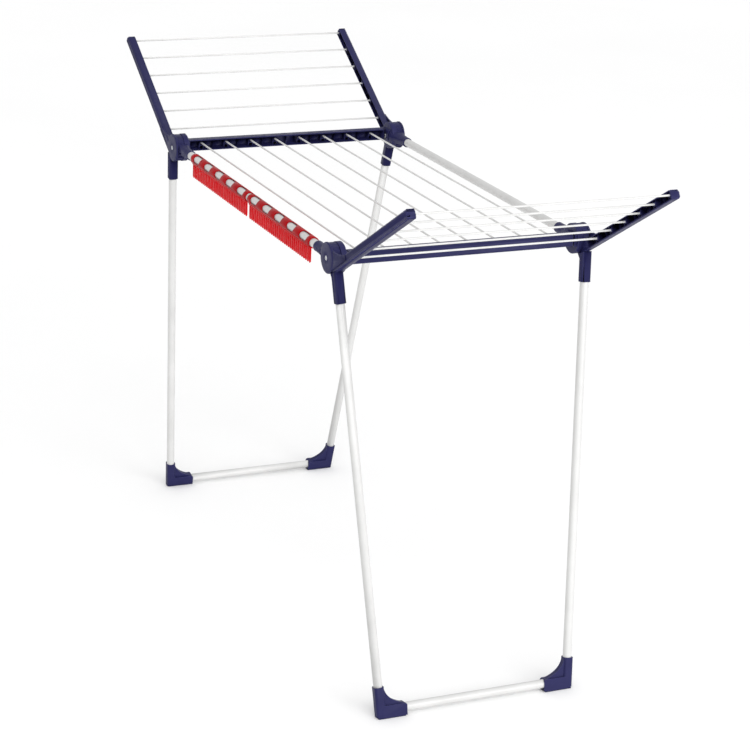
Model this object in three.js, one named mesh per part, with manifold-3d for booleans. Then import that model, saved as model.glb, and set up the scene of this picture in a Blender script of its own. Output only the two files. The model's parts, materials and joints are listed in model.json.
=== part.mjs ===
// Standing clothes drying rack: a hanging frame of rods between two cross channels and two side
// rails, a folding leg frame and a folding wing at each end, and two clip-on holders for small items.
// Millimetres, +Z up, origin on the floor under the middle. X runs along the rack, Y across it.
import * as THREE from "three";
import { mergeVertices } from "three/addons/utils/BufferGeometryUtils.js";
import Module from "manifold-3d";

const wasm = await Module();
wasm.setup();

// ---- Driving dimensions ----
const PIVOT_X = 457; // the hinge axes of the legs and wings, from the middle of the rack
const PIVOT_Z = 906; // their height over the floor
const GAP = 0.35; // clearance between two pieces that meet
const SWING_GAP = 1.2; // clearance round a disc that turns past a fixed piece
const STOP_GAP = 0.5; // between the open wing and the leg bracket that it comes down on
const BEYOND_Y = 320; // outside every piece, for cuts that run out of the rack
const ROUND = 40; // sides of the large round faces
const BORE_SIDES = 14; // sides of a rivet and its bore
const ROD_PITCH = 60; // spacing of the rods, in the frame and in the wings alike
const ROD_R = 1.95;
const BORE_DEPTH = 12; // how far a rod sinks into its boss
const BOSS_HALF = 4; // half the thickness of the boss round each rod end

const RAIL_Y = 266;
const RAIL_R = 9;
const TUBE_WALL = 1;
const RAIL_SOCKET = 45; // where a rail's end sits, from the hinge axis

const FRAME_RODS = 8;
const FRAME_ROD_Z = 5; // the frame's rods lie this far over the hinge axis
const CHANNEL_HALF_LENGTH = 242.5;
const CHANNEL = { depth: 25, bottom: -10.5, top: 14.5, wall: 2.5, bossFace: 10 };
const TENON = { x0: 8, x1: 20, half: 6, length: 12 };

const HUB = { r: 31, y0: 251, y1: 263, blockY0: 246, blockX0: -13 }; // the frame's drum and its block
// The rail sleeve of a hub, from its root in the drum to its mouth. It flares at the root, within
// flat faces that leave room for the folded leg below and the folded wing above and outside.
const SLEEVE = { start: 18, end: 82, startR: 12, mouthR: 11 };
const FLARE = { r: 20, end: 52, lowY: 254, low: -12.6, highY: 258, high: 13.2, outerY: 277.2 };
const LEG_HUB = { r: 30, y0: 263.4, y1: 277.5 }; // the leg bracket's disc, outside the drum
const WING_HUB = { r: 31, y0: 277.9, y1: 283.5 }; // the wing arm's cover disc, outermost
const RIVET = { shaft: 3.5, head: 5, headHeight: 2.2, seat: 1.4, tail: 243.2 };

const SPLAY = THREE.MathUtils.degToRad(10.45); // each leg frame leans out by this
const LEG_TAPER = 0.0695; // sideways run of a leg for each millimetre down it
const LEG_OFFSET = 24.1; // the leg frame's plane, from the hinge axis
const LEG_TOP_Y = 273; // a leg's centre line where it passes the hinge axis
const LEG_R = 9;
const LEG_SLEEVE = { half: 10.6, corner: 6.5, top: 20, bottom: 87, tubeStart: 42 };
const NECK = { reach: 44, inset: 9.5, top: -24, bend: -30, foot: -42 }; // joins the disc to the sleeve
const NECK_ROOM = { low: -20, high: -2.5 }; // where the folded leg's neck passes the rail sleeve
const LEG_LENGTH = PIVOT_Z / Math.cos(SPLAY); // along the leg's plane, from the axis to the floor
const FOOT = { half: 10.4, corner: 6, height: 58, reach: 65, barRise: 10.6 };
const WEB = { inset: 0.8, end: 5, bendY: 8, bendZ: 9, top: -3 }; // fills the foot's corner
const SOLE = { halfWidth: 8.5, inset: 3, depth: 3, proud: 0.6 };
const LEG_TUBE_END = LEG_LENGTH - 23;
const FLOOR_BAR_HALF = 190;

const WING_ANGLE = THREE.MathUtils.degToRad(31); // the open wings rise by this
const WING_RODS = 6;
const FIRST_WING_ROD = 84; // along the arm, from the hinge axis
const ARM = { start: 8, end: 391, low: -34.5, high: -14.5, y0: 262, y1: 280, corner: 6 };
const ARM_WALL = { edge: 2.5, back: 3, tip: 4 };
const GUSSET = { end: 88, topU: 14, topV: 27, bendU: 32, bendV: -8, proud: 1.5 }; // outside the arm
const ARM_ROD_V = (ARM.low + ARM.high) / 2; // the rods lie on the middle line of the arms
const ARM_POCKET_START = 44;

const HOLDER = { length: 343, r: 11.6, bore: RAIL_R + GAP, mouthHalf: 6 };
const WINDOW = { count: 5, length: 40, half: 9.2 };
const WINDOW_TURN = THREE.MathUtils.degToRad(-48); // the windows look up and outwards
const MOUTH_TURN = THREE.MathUtils.degToRad(-50); // the clip's mouth opens down and inwards
const HOLDER_STARTS = { far: -347, near: 9 };
const SKIRT = { y0: 3.6, y1: 6.4, top: -7.5, bottom: -37.5, tooth: 4.5, teeth: 33 };

const COLOURS = {
  navy: { color: 0x2b2d6b, roughness: 0.42, metalness: 0 },
  white_tube: { color: 0xe9ebea, roughness: 0.35, metalness: 0 },
  white_wire: { color: 0xf1f1ee, roughness: 0.4, metalness: 0 },
  red: { color: 0xd21f26, roughness: 0.38, metalness: 0 },
  steel: { color: 0xc9cbce, roughness: 0.3, metalness: 1 },
};

// ---- Solids and booleans ----
function solid(geometry) {
  const bare = geometry.clone();
  for (const name of ["normal", "uv"]) bare.deleteAttribute(name);
  const merged = mergeVertices(bare, 1e-4);
  const mesh = { numProp: 3, vertProperties: merged.attributes.position.array };
  mesh.triVerts = new Uint32Array(merged.index.array);
  return new wasm.Manifold(new wasm.Mesh(mesh));
}

function geometryOf(made) {
  const { numProp, numVert, vertProperties, triVerts } = made.getMesh();
  const position = new Float32Array(numVert * 3);
  for (let i = 0; i < numVert; i++) {
    position.set(vertProperties.subarray(i * numProp, i * numProp + 3), i * 3);
  }
  const geometry = new THREE.BufferGeometry();
  geometry.setAttribute("position", new THREE.BufferAttribute(position, 3));
  geometry.setIndex(new THREE.BufferAttribute(triVerts, 1));
  const flat = geometry.toNonIndexed();
  flat.computeVertexNormals();
  return flat;
}

const join = (...solids) => solids.reduce((sum, next) => sum.add(next));
const cut = (body, ...tools) => tools.reduce((left, tool) => left.subtract(tool), body);

function box([x0, x1], [y0, y1], [z0, z1]) {
  const g = new THREE.BoxGeometry(x1 - x0, y1 - y0, z1 - z0);
  return solid(g.translate((x0 + x1) / 2, (y0 + y1) / 2, (z0 + z1) / 2));
}

// A round bar along Y, from y0 to y1, with its axis through x, z.
function barY(r, y0, y1, x = 0, z = 0, sides = 32) {
  const g = new THREE.CylinderGeometry(r, r, y1 - y0, sides);
  return solid(g.translate(0, (y0 + y1) / 2, 0).translate(x, 0, z));
}

// A round bar along X, which may taper from r0 at x0 to r1 at x1.
function barX(r0, x0, x1, y, z, sides = 20, r1 = r0) {
  const g = new THREE.CylinderGeometry(r1, r0, x1 - x0, sides);
  return solid(g.rotateZ(-Math.PI / 2).translate((x0 + x1) / 2, y, z));
}

// A plate whose outline is drawn in x, z and which runs in Y from y0 to y1.
function plateY(outline, y0, y1, curveSegments = 6) {
  const g = new THREE.ExtrudeGeometry(outline, { depth: y1 - y0, bevelEnabled: false, curveSegments });
  return solid(g.rotateX(Math.PI / 2).translate(0, y1, 0));
}

// A beam whose section is drawn in y, z and which runs in X from x0 to x1.
function beamX(section, x0, x1, curveSegments = 5) {
  const g = new THREE.ExtrudeGeometry(section, { depth: x1 - x0, bevelEnabled: false, curveSegments });
  const turned = new THREE.Matrix4().makeBasis(
    new THREE.Vector3(0, 1, 0),
    new THREE.Vector3(0, 0, 1),
    new THREE.Vector3(1, 0, 0),
  );
  return solid(g.applyMatrix4(turned).translate(x0, 0, 0));
}

// A rectangle with its own radius at each corner: [low-left, low-right, high-right, high-left].
function roundedRectangle(a0, a1, b0, b1, [ll, lr, hr, hl]) {
  const s = new THREE.Shape();
  const quarter = Math.PI / 2;
  s.moveTo(a0 + ll, b0);
  s.lineTo(a1 - lr, b0);
  if (lr) s.absarc(a1 - lr, b0 + lr, lr, -quarter, 0);
  s.lineTo(a1, b1 - hr);
  if (hr) s.absarc(a1 - hr, b1 - hr, hr, 0, quarter);
  s.lineTo(a0 + hl, b1);
  if (hl) s.absarc(a0 + hl, b1 - hl, hl, quarter, 2 * quarter);
  s.lineTo(a0, b0 + ll);
  if (ll) s.absarc(a0 + ll, b0 + ll, ll, 2 * quarter, 3 * quarter);
  s.closePath();
  return s;
}

function polygon(points) {
  return new THREE.Shape(points.map(([a, b]) => new THREE.Vector2(a, b)));
}

// A plain tube along Z, open at both ends, hanging from z = 0 down to z = -length.
function tube(r, length, sides = 20) {
  const ring = [
    [r - TUBE_WALL, 0],
    [r - TUBE_WALL, -length],
    [r, -length],
    [r, 0],
    [r - TUBE_WALL, 0],
  ];
  return new THREE.LatheGeometry(ring.map(([a, b]) => new THREE.Vector2(a, b)), sides).rotateX(Math.PI / 2);
}

// ---- Scene graph helpers ----
const rack = new THREE.Group();
const ENDS = { far: -1, near: 1 };
const SIDES = { left: -1, right: 1 };

function place(parent, name, geometry, look) {
  const mesh = new THREE.Mesh(geometry, new THREE.MeshStandardMaterial(COLOURS[look]));
  mesh.name = name;
  parent.add(mesh);
  return mesh;
}

// A group at one end's hinge axis, mirrored so that +X leads out of the rack and +Y to that side.
function hingeGroup(end, side = 1, lean = 0) {
  const mirrored = new THREE.Group();
  mirrored.position.set(end * PIVOT_X, 0, PIVOT_Z);
  mirrored.scale.set(end, side, 1);
  rack.add(mirrored);
  const leaning = new THREE.Group();
  leaning.rotation.y = -lean;
  mirrored.add(leaning);
  return leaning;
}

const rodPositions = (count, first) => Array.from({ length: count }, (_, i) => first + i * ROD_PITCH);
const FRAME_ROD_YS = rodPositions(FRAME_RODS, (-(FRAME_RODS - 1) * ROD_PITCH) / 2);
const WING_ROD_US = rodPositions(WING_RODS, FIRST_WING_ROD);

// ---- Hanging frame ----
// A channel that opens towards the middle of the rack, with a boss and a blind hole for each rod.
function crossChannel() {
  const { depth, bottom, top, wall, bossFace } = CHANNEL;
  const half = CHANNEL_HALF_LENGTH;
  const inside = [bottom + wall, top - wall];
  const back = depth - wall;
  let body = plateY(roundedRectangle(0, depth, bottom, top, [0, 4, 4, 0]), -half, half);
  body = cut(body, box([-1, bossFace], [-half + wall, half - wall], inside));
  const walls = [-half + wall, ...FRAME_ROD_YS.flatMap((y) => [y - BOSS_HALF, y + BOSS_HALF]), half - wall];
  for (let i = 0; i < walls.length; i += 2) {
    body = cut(body, box([bossFace - 1, back], [walls[i], walls[i + 1]], inside));
  }
  for (const y of FRAME_ROD_YS) {
    body = cut(body, barX(ROD_R + GAP, bossFace - 1, back - 1, y, FRAME_ROD_Z, 10));
  }
  for (const s of [-1, 1]) {
    const span = [s * (half - wall), s * (half + TENON.length)].sort((a, b) => a - b);
    body = join(body, box([TENON.x0, TENON.x1], span, [-TENON.half, TENON.half]));
  }
  return geometryOf(body);
}

// The corner hub: a drum on the hinge axis, a block that takes the cross channel's tenon, and a
// tapering sleeve for the side rail. The sleeve's outer lower edge is notched for the folded leg.
function cornerHub() {
  const { r, y0, y1, blockY0, blockX0 } = HUB;
  const outer = y1 + GAP;
  const { start, end, startR, mouthR } = SLEEVE;
  const along = [-FLARE.end, 0];
  const sleeve = cut(
    join(
      barX(mouthR, -end, -start, RAIL_Y, 0, 24, startR),
      barX(mouthR, -FLARE.end, -start, RAIL_Y, 0, 32, FLARE.r),
    ),
    box(along, [FLARE.lowY, BEYOND_Y], [-r, FLARE.low]),
    box(along, [FLARE.highY, BEYOND_Y], [FLARE.high, r]),
    box(along, [FLARE.outerY, BEYOND_Y], [-r, r]),
    barY(LEG_HUB.r + SWING_GAP, outer, BEYOND_Y, 0, 0, ROUND),
    box([-NECK.reach - 2, 0], [outer, BEYOND_Y], [NECK_ROOM.low, NECK_ROOM.high]),
  );
  const block = box([blockX0, CHANNEL.depth], [blockY0, y0 + 1], [CHANNEL.bottom, CHANNEL.top]);
  let body = join(barY(r, y0, y1, 0, 0, ROUND), block, sleeve);
  body = cut(body, barX(RAIL_R + GAP, -end - 1, -RAIL_SOCKET + GAP, RAIL_Y, 0, 20));
  body = cut(body, barY(RIVET.shaft + GAP, blockY0 - 1, y1 + 1, 0, 0, BORE_SIDES));
  const slot = TENON.half + GAP;
  const pocketEnd = CHANNEL_HALF_LENGTH + TENON.length + GAP;
  const pocket = box([TENON.x0 - GAP, TENON.x1 + GAP], [blockY0 - 1, pocketEnd], [-slot, slot]);
  return geometryOf(cut(body, pocket));
}

// The rivet that every piece at a corner turns on.
function pivotRivet() {
  const { shaft, head, headHeight, seat, tail } = RIVET;
  const face = WING_HUB.y1 - seat;
  const body = join(
    barY(shaft, tail, face + 1, 0, 0, BORE_SIDES),
    barY(head, face, face + headHeight, 0, 0, 18),
    barY(head, tail, HUB.blockY0 - GAP, 0, 0, 18),
  );
  return geometryOf(body);
}

function addFrame() {
  for (const [endName, end] of Object.entries(ENDS)) {
    place(hingeGroup(end), `cross_channel_${endName}`, crossChannel(), "navy");
    for (const [sideName, side] of Object.entries(SIDES)) {
      const corner = hingeGroup(end, side);
      place(corner, `corner_hub_${endName}_${sideName}`, cornerHub(), "navy");
      place(corner, `pivot_rivet_${endName}_${sideName}`, pivotRivet(), "steel");
    }
  }
  const railHalf = PIVOT_X - RAIL_SOCKET;
  for (const [sideName, side] of Object.entries(SIDES)) {
    const rail = place(rack, `side_rail_${sideName}`, tube(RAIL_R, 2 * railHalf), "white_tube");
    rail.rotation.y = Math.PI / 2;
    rail.position.set(railHalf, side * RAIL_Y, PIVOT_Z);
  }
  const rodHalf = PIVOT_X + CHANNEL.bossFace + BORE_DEPTH - 2;
  FRAME_ROD_YS.forEach((y, i) => {
    const rod = geometryOf(barX(ROD_R, -rodHalf, rodHalf, y, PIVOT_Z + FRAME_ROD_Z, 10));
    place(rack, `frame_rod_${i + 1}`, rod, "white_wire");
  });
}

// ---- Leg frames, drawn in the leaning plane: x out of it, z up the leg ----
const legY = (down) => LEG_TOP_Y - LEG_TAPER * down;

// Moves a solid drawn round the Z axis onto a leg's own slanting centre line.
function ontoLeg(geometry) {
  return geometry.rotateX(-Math.atan(LEG_TAPER)).translate(LEG_OFFSET, LEG_TOP_Y, 0);
}

function legBore(from, to) {
  const g = new THREE.CylinderGeometry(LEG_R + GAP, LEG_R + GAP, to - from, 20);
  return solid(ontoLeg(g.rotateX(Math.PI / 2).translate(0, 0, -(from + to) / 2)));
}

function squareSleeve(half, corner, from, to) {
  const outline = roundedRectangle(-half, half, -half, half, [corner, corner, corner, corner]);
  const depth = to - from;
  const g = new THREE.ExtrudeGeometry(outline, { depth, bevelEnabled: false, curveSegments: 3 });
  return solid(ontoLeg(g.translate(0, 0, -to)));
}

// The leg's top bracket: a hinge disc, a neck and a square sleeve. The sleeve's slanting top is the
// stop that the open wing rests on.
function legBracket() {
  const { half, corner, top, bottom, tubeStart } = LEG_SLEEVE;
  const wingSwing = WING_ANGLE - SPLAY; // the open wing as the leaning plane sees it
  const room = { length: 200, width: 60, height: 120 };
  const turned = new THREE.BoxGeometry(room.length, room.width, room.height);
  const roomStart = ARM.start - 2 * GAP;
  turned.translate(roomStart + room.length / 2, LEG_TOP_Y, ARM.low - STOP_GAP + room.height / 2);
  const wingSpace = solid(turned.rotateY(-wingSwing));
  const coverSpace = barY(WING_HUB.r + 2 * GAP, LEG_HUB.y1 + GAP, BEYOND_Y, 0, 0, ROUND);
  const drumSpace = barY(HUB.r + 2 * GAP, 0, LEG_HUB.y0 - GAP, 0, 0, ROUND);
  const sleeve = cut(squareSleeve(half, corner, top, bottom), wingSpace, coverSpace, drumSpace);
  const inside = LEG_OFFSET - half;
  const neck = plateY(
    polygon([
      [inside - NECK.inset, NECK.top],
      [inside - NECK.inset, NECK.bend],
      [inside - 1, NECK.foot],
      [LEG_OFFSET, NECK.foot],
      [LEG_OFFSET - 6, NECK.top + 4],
    ]),
    LEG_HUB.y0,
    LEG_HUB.y1,
  );
  const disc = barY(LEG_HUB.r, LEG_HUB.y0, LEG_HUB.y1, 0, 0, ROUND);
  const rivetBore = barY(RIVET.shaft + GAP, HUB.y0, BEYOND_Y, 0, 0, BORE_SIDES);
  const body = join(disc, cut(neck, wingSpace), sleeve);
  return geometryOf(cut(body, rivetBore, legBore(tubeStart, bottom + 2)));
}

function legTube() {
  const { tubeStart } = LEG_SLEEVE;
  const start = tubeStart + GAP;
  return ontoLeg(tube(LEG_R, LEG_TUBE_END - start).translate(0, 0, -start));
}

// A foot: one sleeve up the leg, one along the floor bar, a concave web in the corner between them,
// and a flat sole that stands on the floor.
function foot() {
  const { half, corner, height, reach, barRise } = FOOT;
  const outer = legY(LEG_LENGTH) + half;
  const inner = outer - reach;
  const barDown = (PIVOT_Z - barRise) / Math.cos(SPLAY);
  const armInner = legY(LEG_LENGTH - height) - half;
  const upright = squareSleeve(half, corner, LEG_LENGTH - height, LEG_LENGTH + 4);
  const along = new THREE.BoxGeometry(2 * half, reach - half, 2 * half + 6);
  along.translate(LEG_OFFSET, inner + (reach - half) / 2, -barDown - 3);
  const webTop = WEB.top + height - LEG_LENGTH;
  const fill = new THREE.Shape();
  fill.moveTo(outer - half, -barDown);
  fill.lineTo(inner + WEB.end, -barDown);
  fill.lineTo(inner + WEB.end, -barDown + half);
  fill.quadraticCurveTo(armInner - WEB.bendY, -barDown + half + WEB.bendZ, armInner, webTop);
  fill.lineTo(outer - half, webTop);
  fill.closePath();
  const web = beamX(fill, LEG_OFFSET - half + WEB.inset, LEG_OFFSET + half - WEB.inset, 8);
  const floor = new THREE.BoxGeometry(400, 600, 100).translate(0, 200, SOLE.proud - PIVOT_Z - 50);
  const sole = new THREE.BoxGeometry(2 * SOLE.halfWidth, reach - 2 * SOLE.inset, SOLE.depth);
  const soleX = (LEG_OFFSET + Math.sin(SPLAY) * PIVOT_Z) / Math.cos(SPLAY);
  sole.translate(soleX, inner + reach / 2, SOLE.depth / 2 - PIVOT_Z);
  let body = cut(join(upright, solid(along), web), solid(floor.rotateY(SPLAY)));
  body = join(body, solid(sole.rotateY(SPLAY)));
  const barBore = barY(LEG_R + GAP, inner - 1, FLOOR_BAR_HALF + GAP, LEG_OFFSET, -barDown, 20);
  return geometryOf(cut(body, legBore(LEG_LENGTH - height - 2, LEG_TUBE_END + GAP), barBore));
}

function addLegs() {
  for (const [endName, end] of Object.entries(ENDS)) {
    for (const [sideName, side] of Object.entries(SIDES)) {
      const legs = hingeGroup(end, side, SPLAY);
      place(legs, `leg_bracket_${endName}_${sideName}`, legBracket(), "navy");
      place(legs, `leg_tube_${endName}_${sideName}`, legTube(), "white_tube");
      place(legs, `foot_${endName}_${sideName}`, foot(), "navy");
    }
    const bar = tube(LEG_R, 2 * FLOOR_BAR_HALF).rotateX(-Math.PI / 2).translate(0, FLOOR_BAR_HALF, 0);
    bar.translate(LEG_OFFSET, 0, -(PIVOT_Z - FOOT.barRise) / Math.cos(SPLAY));
    place(hingeGroup(end, 1, SPLAY), `floor_bar_${endName}`, bar, "white_tube");
  }
}

// ---- Wings, drawn along the arm: x away from the hinge axis, z across it ----
// A wing arm: a channel that opens inwards, with a boss for each rod, and a cover disc over the
// hinge that a gusset with a hollowed edge joins to it.
function wingArm() {
  const { start, end, low, high, y0, y1, corner } = ARM;
  const { edge, back, tip } = ARM_WALL;
  const section = beamX(roundedRectangle(y0, y1, low, high, [0, corner, corner, 0]), start, end);
  const side = plateY(roundedRectangle(start, end, low, high, [0, 4, 8, 0]), y0, y1);
  const hubSpace = barY(WING_HUB.r + GAP, y0 - 1, WING_HUB.y0, 0, 0, ROUND);
  let body = cut(section.intersect(side), hubSpace);
  const starts = [ARM_POCKET_START, ...WING_ROD_US.map((u) => u + BOSS_HALF)];
  const stops = [...WING_ROD_US.map((u) => u - BOSS_HALF), end - tip];
  starts.forEach((from, i) => {
    body = cut(body, box([from, stops[i]], [y0 - 1, y1 - back], [low + edge, high - edge]));
  });
  for (const u of WING_ROD_US) {
    body = cut(body, barY(ROD_R + GAP, y0 - 1, y0 + BORE_DEPTH + 1, u, ARM_ROD_V, 10));
  }
  const gusset = new THREE.Shape();
  gusset.moveTo(0, 0);
  gusset.lineTo(start, low + 6);
  gusset.lineTo(GUSSET.end, low + 6);
  gusset.lineTo(GUSSET.end, high - 3);
  gusset.quadraticCurveTo(GUSSET.bendU, GUSSET.bendV, GUSSET.topU, GUSSET.topV);
  gusset.closePath();
  const cover = join(
    barY(WING_HUB.r, WING_HUB.y0, WING_HUB.y1, 0, 0, ROUND),
    plateY(gusset, WING_HUB.y0, y1 + GUSSET.proud, 8),
  );
  const rivetHole = barY(RIVET.shaft + GAP, HUB.y0, BEYOND_Y, 0, 0, BORE_SIDES);
  const headSeat = barY(RIVET.head + GAP, WING_HUB.y1 - RIVET.seat - GAP, BEYOND_Y, 0, 0, 18);
  return geometryOf(cut(join(body, cover), rivetHole, headSeat));
}

function addWings() {
  for (const [endName, end] of Object.entries(ENDS)) {
    for (const [sideName, side] of Object.entries(SIDES)) {
      const wing = hingeGroup(end, side, WING_ANGLE);
      place(wing, `wing_arm_${endName}_${sideName}`, wingArm(), "navy");
    }
    const wing = hingeGroup(end, 1, WING_ANGLE);
    const half = ARM.y0 + BORE_DEPTH;
    WING_ROD_US.forEach((u, i) => {
      const rod = geometryOf(barY(ROD_R, -half, half, u, ARM_ROD_V, 10));
      place(wing, `wing_rod_${endName}_${i + 1}`, rod, "white_wire");
    });
  }
}

// ---- Small-item holders, drawn round the rail's axis: x along it, y out of the rack ----
// A clip with a mouth and a row of windows, and a skirt with a toothed edge that hangs from it.
function smallItemHolder() {
  const { length, r, bore, mouthHalf } = HOLDER;
  const { y0, y1, top, bottom, tooth, teeth } = SKIRT;
  const turnedBox = (xs, ys, zs, turn) => {
    const g = new THREE.BoxGeometry(xs[1] - xs[0], ys[1] - ys[0], zs[1] - zs[0]);
    g.translate((xs[0] + xs[1]) / 2, (ys[0] + ys[1]) / 2, (zs[0] + zs[1]) / 2);
    return solid(g.rotateX(turn));
  };
  const mouth = turnedBox([-1, length + 1], [-mouthHalf, mouthHalf], [-r - 1, 0], MOUTH_TURN);
  let clip = cut(barX(r, 0, length, 0, 0, 32), barX(bore, -1, length + 1, 0, 0, 32), mouth);
  const pitch = length / WINDOW.count;
  for (let i = 0; i < WINDOW.count; i++) {
    const middle = (i + 0.5) * pitch;
    const ends = [middle - WINDOW.length / 2, middle + WINDOW.length / 2];
    clip = cut(clip, turnedBox(ends, [-WINDOW.half, WINDOW.half], [0, r + 1], WINDOW_TURN));
  }
  const outline = [
    [length, top],
    [0, top],
  ];
  const step = length / teeth;
  for (let i = 0; i < teeth; i++) {
    outline.push([i * step, bottom], [(i + 0.5) * step, bottom - tooth]);
  }
  outline.push([length, bottom]);
  const skirt = cut(plateY(polygon(outline), y0, y1), barX(bore, -1, length + 1, 0, 0, 32));
  return geometryOf(join(clip, skirt));
}

function addHolders() {
  for (const [name, start] of Object.entries(HOLDER_STARTS)) {
    const onRail = new THREE.Group();
    onRail.position.set(start, SIDES.left * RAIL_Y, PIVOT_Z);
    onRail.scale.set(1, SIDES.left, 1);
    rack.add(onRail);
    place(onRail, `small_item_holder_${name}`, smallItemHolder(), "red");
  }
}

addFrame();
addLegs();
addWings();
addHolders();

export default rack;
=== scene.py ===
"""The looks of the folding clothes drying rack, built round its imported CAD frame.

Shapes are modelled in millimetres in three local systems, and then placed in metres:
- a corner's: x leads out of the rack from the hinge axis, y to that side of it, z up;
- a leg frame's and a wing's: the same, leaning by the leg's or the wing's own angle;
- a holder's: x along the side rail, y out of the rack, z up, from the rail's axis.
"""

import json
import math

import bmesh
import bpy
from mathutils import Matrix, Vector


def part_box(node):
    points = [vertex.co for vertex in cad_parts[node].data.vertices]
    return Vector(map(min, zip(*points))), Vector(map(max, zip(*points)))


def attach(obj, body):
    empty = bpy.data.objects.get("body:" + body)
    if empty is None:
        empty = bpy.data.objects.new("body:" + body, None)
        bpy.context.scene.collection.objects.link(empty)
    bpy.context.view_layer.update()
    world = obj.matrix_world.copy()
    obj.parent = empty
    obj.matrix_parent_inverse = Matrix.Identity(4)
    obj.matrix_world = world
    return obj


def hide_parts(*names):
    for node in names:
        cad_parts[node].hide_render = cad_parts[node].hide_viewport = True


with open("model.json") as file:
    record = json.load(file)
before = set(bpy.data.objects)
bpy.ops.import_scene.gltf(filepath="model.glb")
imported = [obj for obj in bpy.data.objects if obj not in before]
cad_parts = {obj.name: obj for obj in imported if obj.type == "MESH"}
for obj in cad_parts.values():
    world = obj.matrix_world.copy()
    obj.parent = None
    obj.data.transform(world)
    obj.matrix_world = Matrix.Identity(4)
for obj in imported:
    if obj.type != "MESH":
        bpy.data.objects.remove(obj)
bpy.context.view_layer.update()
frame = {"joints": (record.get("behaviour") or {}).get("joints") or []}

MM = 0.001
ENDS = {"far": -1, "near": 1}
SIDES = {"left": -1, "right": 1}

# ---- Places worked out from the frame, in millimetres ----


def mm_box(node):
    low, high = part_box(node)
    return low / MM, high / MM


joint_at = {j["name"]: Vector(j["pos_m"]) / MM for j in frame["joints"]}
PIVOT_X = joint_at["wing_near_hinge"].x
PIVOT_Z = joint_at["wing_near_hinge"].z
rail_low, rail_high = mm_box("side_rail_right")
RAIL_Y = (rail_low.y + rail_high.y) / 2
RAIL_R = (rail_high.z - rail_low.z) / 2
RAIL_HALF = rail_high.x
rod_low, rod_high = mm_box("frame_rod_1")
ROD_R = (rod_high.z - rod_low.z) / 2
FRAME_ROD_HALF = rod_high.x
FRAME_ROD_Z = (rod_low.z + rod_high.z) / 2 - PIVOT_Z
WING_ROD_HALF = mm_box("wing_rod_near_1")[1].y

# ---- Design sizes that the frame's boxes don't give ----
SPLAY = math.radians(10.45)
WING_ANGLE = math.radians(31)
GAP = 0.35
ROD_PITCH = 60
FRAME_RODS = 8
WING_RODS = 6
FIRST_WING_ROD = 84
TUBE_WALL = 1
DISC_SIDES, CLIP_SIDES, SLEEVE_SIDES, TUBE_SIDES = 96, 72, 64, 56
SEAT_SIDES, BORE_SIDES, ROD_SIDES = 48, 32, 24
SHARP_ANGLE = math.radians(32)
BOSS_R, BOSS_HALF = 4.3, 5

SWING_GAP, DISC_GAP, ARM_HUB_GAP = 1.2, 0.6, 0.3
CUT_PAST = 2  # how far a cutting shape runs beyond what it cuts
BEFORE_HINGES, BEYOND_HINGES, OUTSIDE = 200, 300, RAIL_Y + 40
HUB_R, HUB_Y0, HUB_Y1 = 31, 251, 263
BLOCK_X0, BLOCK_Y0 = -13, 246
LEG_HUB_R, LEG_HUB_Y0, LEG_HUB_Y1 = 30, 263.4, 277.5
WING_HUB_R, WING_HUB_Y0, WING_HUB_Y1 = 31, 277.9, 283.5
SLEEVE_START, SLEEVE_END = 18, 82
SLEEVE_ROOT_R, SLEEVE_ROOT_END = 20, 52
FLARE_LOW_Y, FLARE_LOW = 254, -12.6
FLARE_HIGH_Y, FLARE_HIGH = 258, 13.2
FLARE_OUTER_Y = LEG_HUB_Y1 - 0.3
FLARE_XS, FLARE_REACH = (-SLEEVE_ROOT_END - 8, 0), 40
NECK_ROOM_ZS = (-20, -2.5)
RAIL_SOCKET = PIVOT_X - RAIL_HALF
CHANNEL_DEPTH, CHANNEL_LOW, CHANNEL_HIGH = 25, -10.5, 14.5
CHANNEL_WALL, CHANNEL_HALF = 2.2, 242.5
CHANNEL_CORNER, CHANNEL_INNER_CORNER = 5, 3
BOSS_BORE_R, BOSS_BORE_START, BOSS_BORE_STOP = ROD_R + 0.3, 5, CHANNEL_DEPTH - 3
RIB_START, RIB_HALF = 9, 0.9
THIN_RIB_START, THIN_RIB_HALF = 12, 0.8
SHELF_LOW, SHELF_HIGH = -6.6, -4.8
TENON_LENGTH, TENON_XS, TENON_ZS = 11.8, (8, 20), (-6, 6)
RIVET_R, RIVET_HEAD, RIVET_SEAT, RIVET_TAIL = 3.5, 5, 1.4, 243.2
RIVET_SLOT_REACH, RIVET_SLOT_HALF, RIVET_SLOT_TURN = 7, 0.6, math.radians(35)

LEG_TAPER, LEG_OFFSET, LEG_TOP_Y, LEG_R = 0.0695, 24.1, 273, 9
LEG_LENGTH = PIVOT_Z / math.cos(SPLAY)
LEG_TUBE_START, LEG_TUBE_END = 42.35, LEG_LENGTH - 23
SOCKET_HALF, SOCKET_CORNER, SOCKET_TOP, SOCKET_BOTTOM = 10.6, 6.5, 20, 87
NECK_REACH = 44
BRACKET_EASE = 0.8
WING_STOP_GAP, WING_ROOM_END, WING_ROOM_HALF, WING_ROOM_TOP = 0.5, 198, 30, 120
FOOT_HALF, FOOT_CORNER, FOOT_HEIGHT, FOOT_REACH, BAR_RISE = 10.4, 6, 58, 65, 10.6
FOOT_TRIM, BAR_SOCKET_CORNER = 4, 5
BELOW_FOOT_XS, BELOW_FOOT_YS, BELOW_FOOT_DEPTH = (-400, 400), (-100, 500), 100
SOLE_HALF, SOLE_INSET, SOLE_DEPTH, SOLE_PROUD = 8.5, 3, 3, 0.6
WEB_INSET, WEB_END, WEB_TOP = 4.2, 5, -3
WEB_BEND_Y, WEB_BEND_Z = 8, 9
FLOOR_BAR_HALF = 190

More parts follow.
